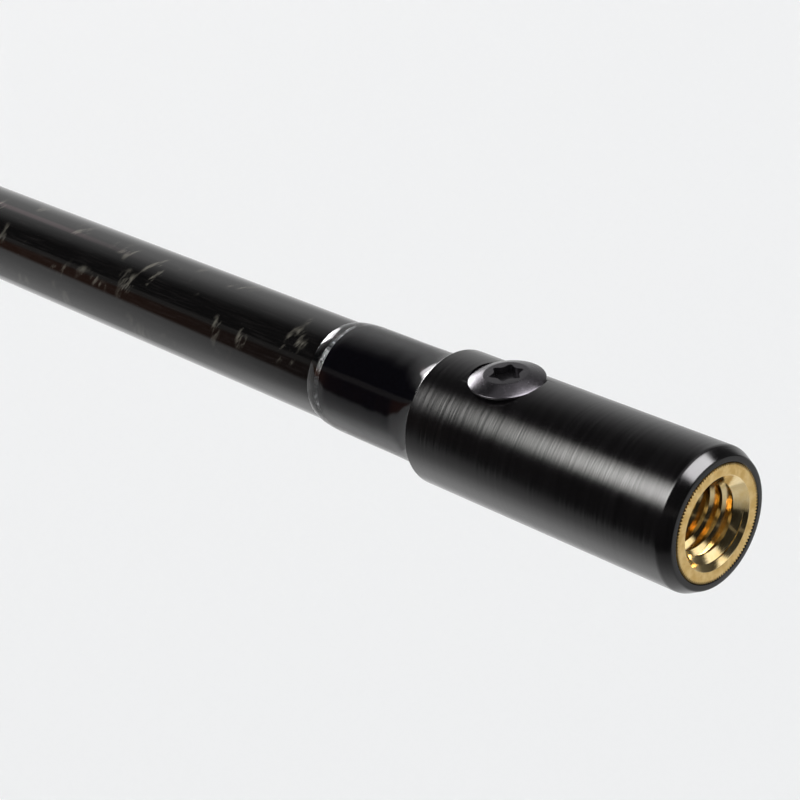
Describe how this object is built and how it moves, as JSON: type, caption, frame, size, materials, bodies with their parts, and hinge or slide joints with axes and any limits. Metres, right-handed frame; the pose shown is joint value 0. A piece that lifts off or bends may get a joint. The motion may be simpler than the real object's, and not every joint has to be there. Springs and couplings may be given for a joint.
{
  "type": "boom pole",
  "caption": "Telescoping carbon-fibre microphone boom pole with twist-lock collars and a black tip adapter holding a threaded brass insert.",
  "frame": {"origin": "centre of the tip adapter's front face, where the thread opens", "axes": "+X out of the tip along the pole's axis, +Z through the adapter screw's head"},
  "size_m": [0.6102, 0.0332, 0.0332],
  "materials": {
    "carbon": "clear-lacquered black carbon fibre with pale flecks",
    "black_anodised": "satin black anodised, finely turned",
    "plain_aluminium": "bare machined",
    "brass": "machined, bright thread",
    "black_steel": "black oxide",
    "black_thread": "fine winding under epoxy",
    "silver_tinsel": "sparkling metallic winding",
    "clear_epoxy": "clear high gloss coat",
    "slide_plastic": "smooth acetal",
    "grip_rubber": "matt ribbed rubber"
  },
  "bodies": {
    "tip": {"tip_adapter": "black_anodised", "thread_insert": "brass", "adapter_screw": "black_steel", "tip_plug": "plain_aluminium", "tip_whipping": "black_thread", "tip_band": "silver_tinsel", "tip_epoxy": "clear_epoxy", "tip_tube": "carbon", "tip_guide": "slide_plastic"},
    "fourth": {"fourth_tube": "carbon", "fourth_ferrule": "black_anodised", "fourth_collet": "slide_plastic", "fourth_guide": "slide_plastic"},
    "fourth_collar": {"fourth_nut": "black_anodised", "fourth_grip": "grip_rubber"},
    "third": {"third_tube": "carbon", "third_ferrule": "black_anodised", "third_collet": "slide_plastic", "third_guide": "slide_plastic"},
    "third_collar": {"third_nut": "black_anodised", "third_grip": "grip_rubber"},
    "second": {"second_tube": "carbon", "second_ferrule": "black_anodised", "second_collet": "slide_plastic", "second_guide": "slide_plastic"},
    "second_collar": {"second_nut": "black_anodised", "second_grip": "grip_rubber"},
    "base": {"base_tube": "carbon", "base_ferrule": "black_anodised", "base_collet": "slide_plastic", "end_sleeve": "black_anodised", "end_plug": "black_anodised", "end_seal": "grip_rubber", "foot": "grip_rubber", "foot_screw": "black_steel"},
    "base_collar": {"base_nut": "black_anodised", "base_grip": "grip_rubber"}
  },
  "joints": [
    {"name": "second_slide", "type": "slide", "parent": "base", "child": "second", "axis": [1, 0, 0], "range_m": [0, 0.2635]},
    {"name": "third_slide", "type": "slide", "parent": "second", "child": "third", "axis": [1, 0, 0], "range_m": [0, 0.2995]},
    {"name": "fourth_slide", "type": "slide", "parent": "third", "child": "fourth", "axis": [1, 0, 0], "range_m": [0, 0.3355]},
    {"name": "tip_slide", "type": "slide", "parent": "fourth", "child": "tip", "axis": [1, 0, 0], "range_m": [-0.084, 0.2875]},
    {"name": "fourth_collar_turn", "type": "hinge", "parent": "fourth", "child": "fourth_collar", "pos_m": [-0.16705, 0, 0], "axis": [1, 0, 0], "range_deg": [0, 120]},
    {"name": "third_collar_turn", "type": "hinge", "parent": "third", "child": "third_collar", "pos_m": [-0.2091, 0, 0], "axis": [1, 0, 0], "range_deg": [0, 120]},
    {"name": "second_collar_turn", "type": "hinge", "parent": "second", "child": "second_collar", "pos_m": [-0.25115, 0, 0], "axis": [1, 0, 0], "range_deg": [0, 120]},
    {"name": "base_collar_turn", "type": "hinge", "parent": "base", "child": "base_collar", "pos_m": [-0.2932, 0, 0], "axis": [1, 0, 0], "range_deg": [0, 120]}
  ]
}
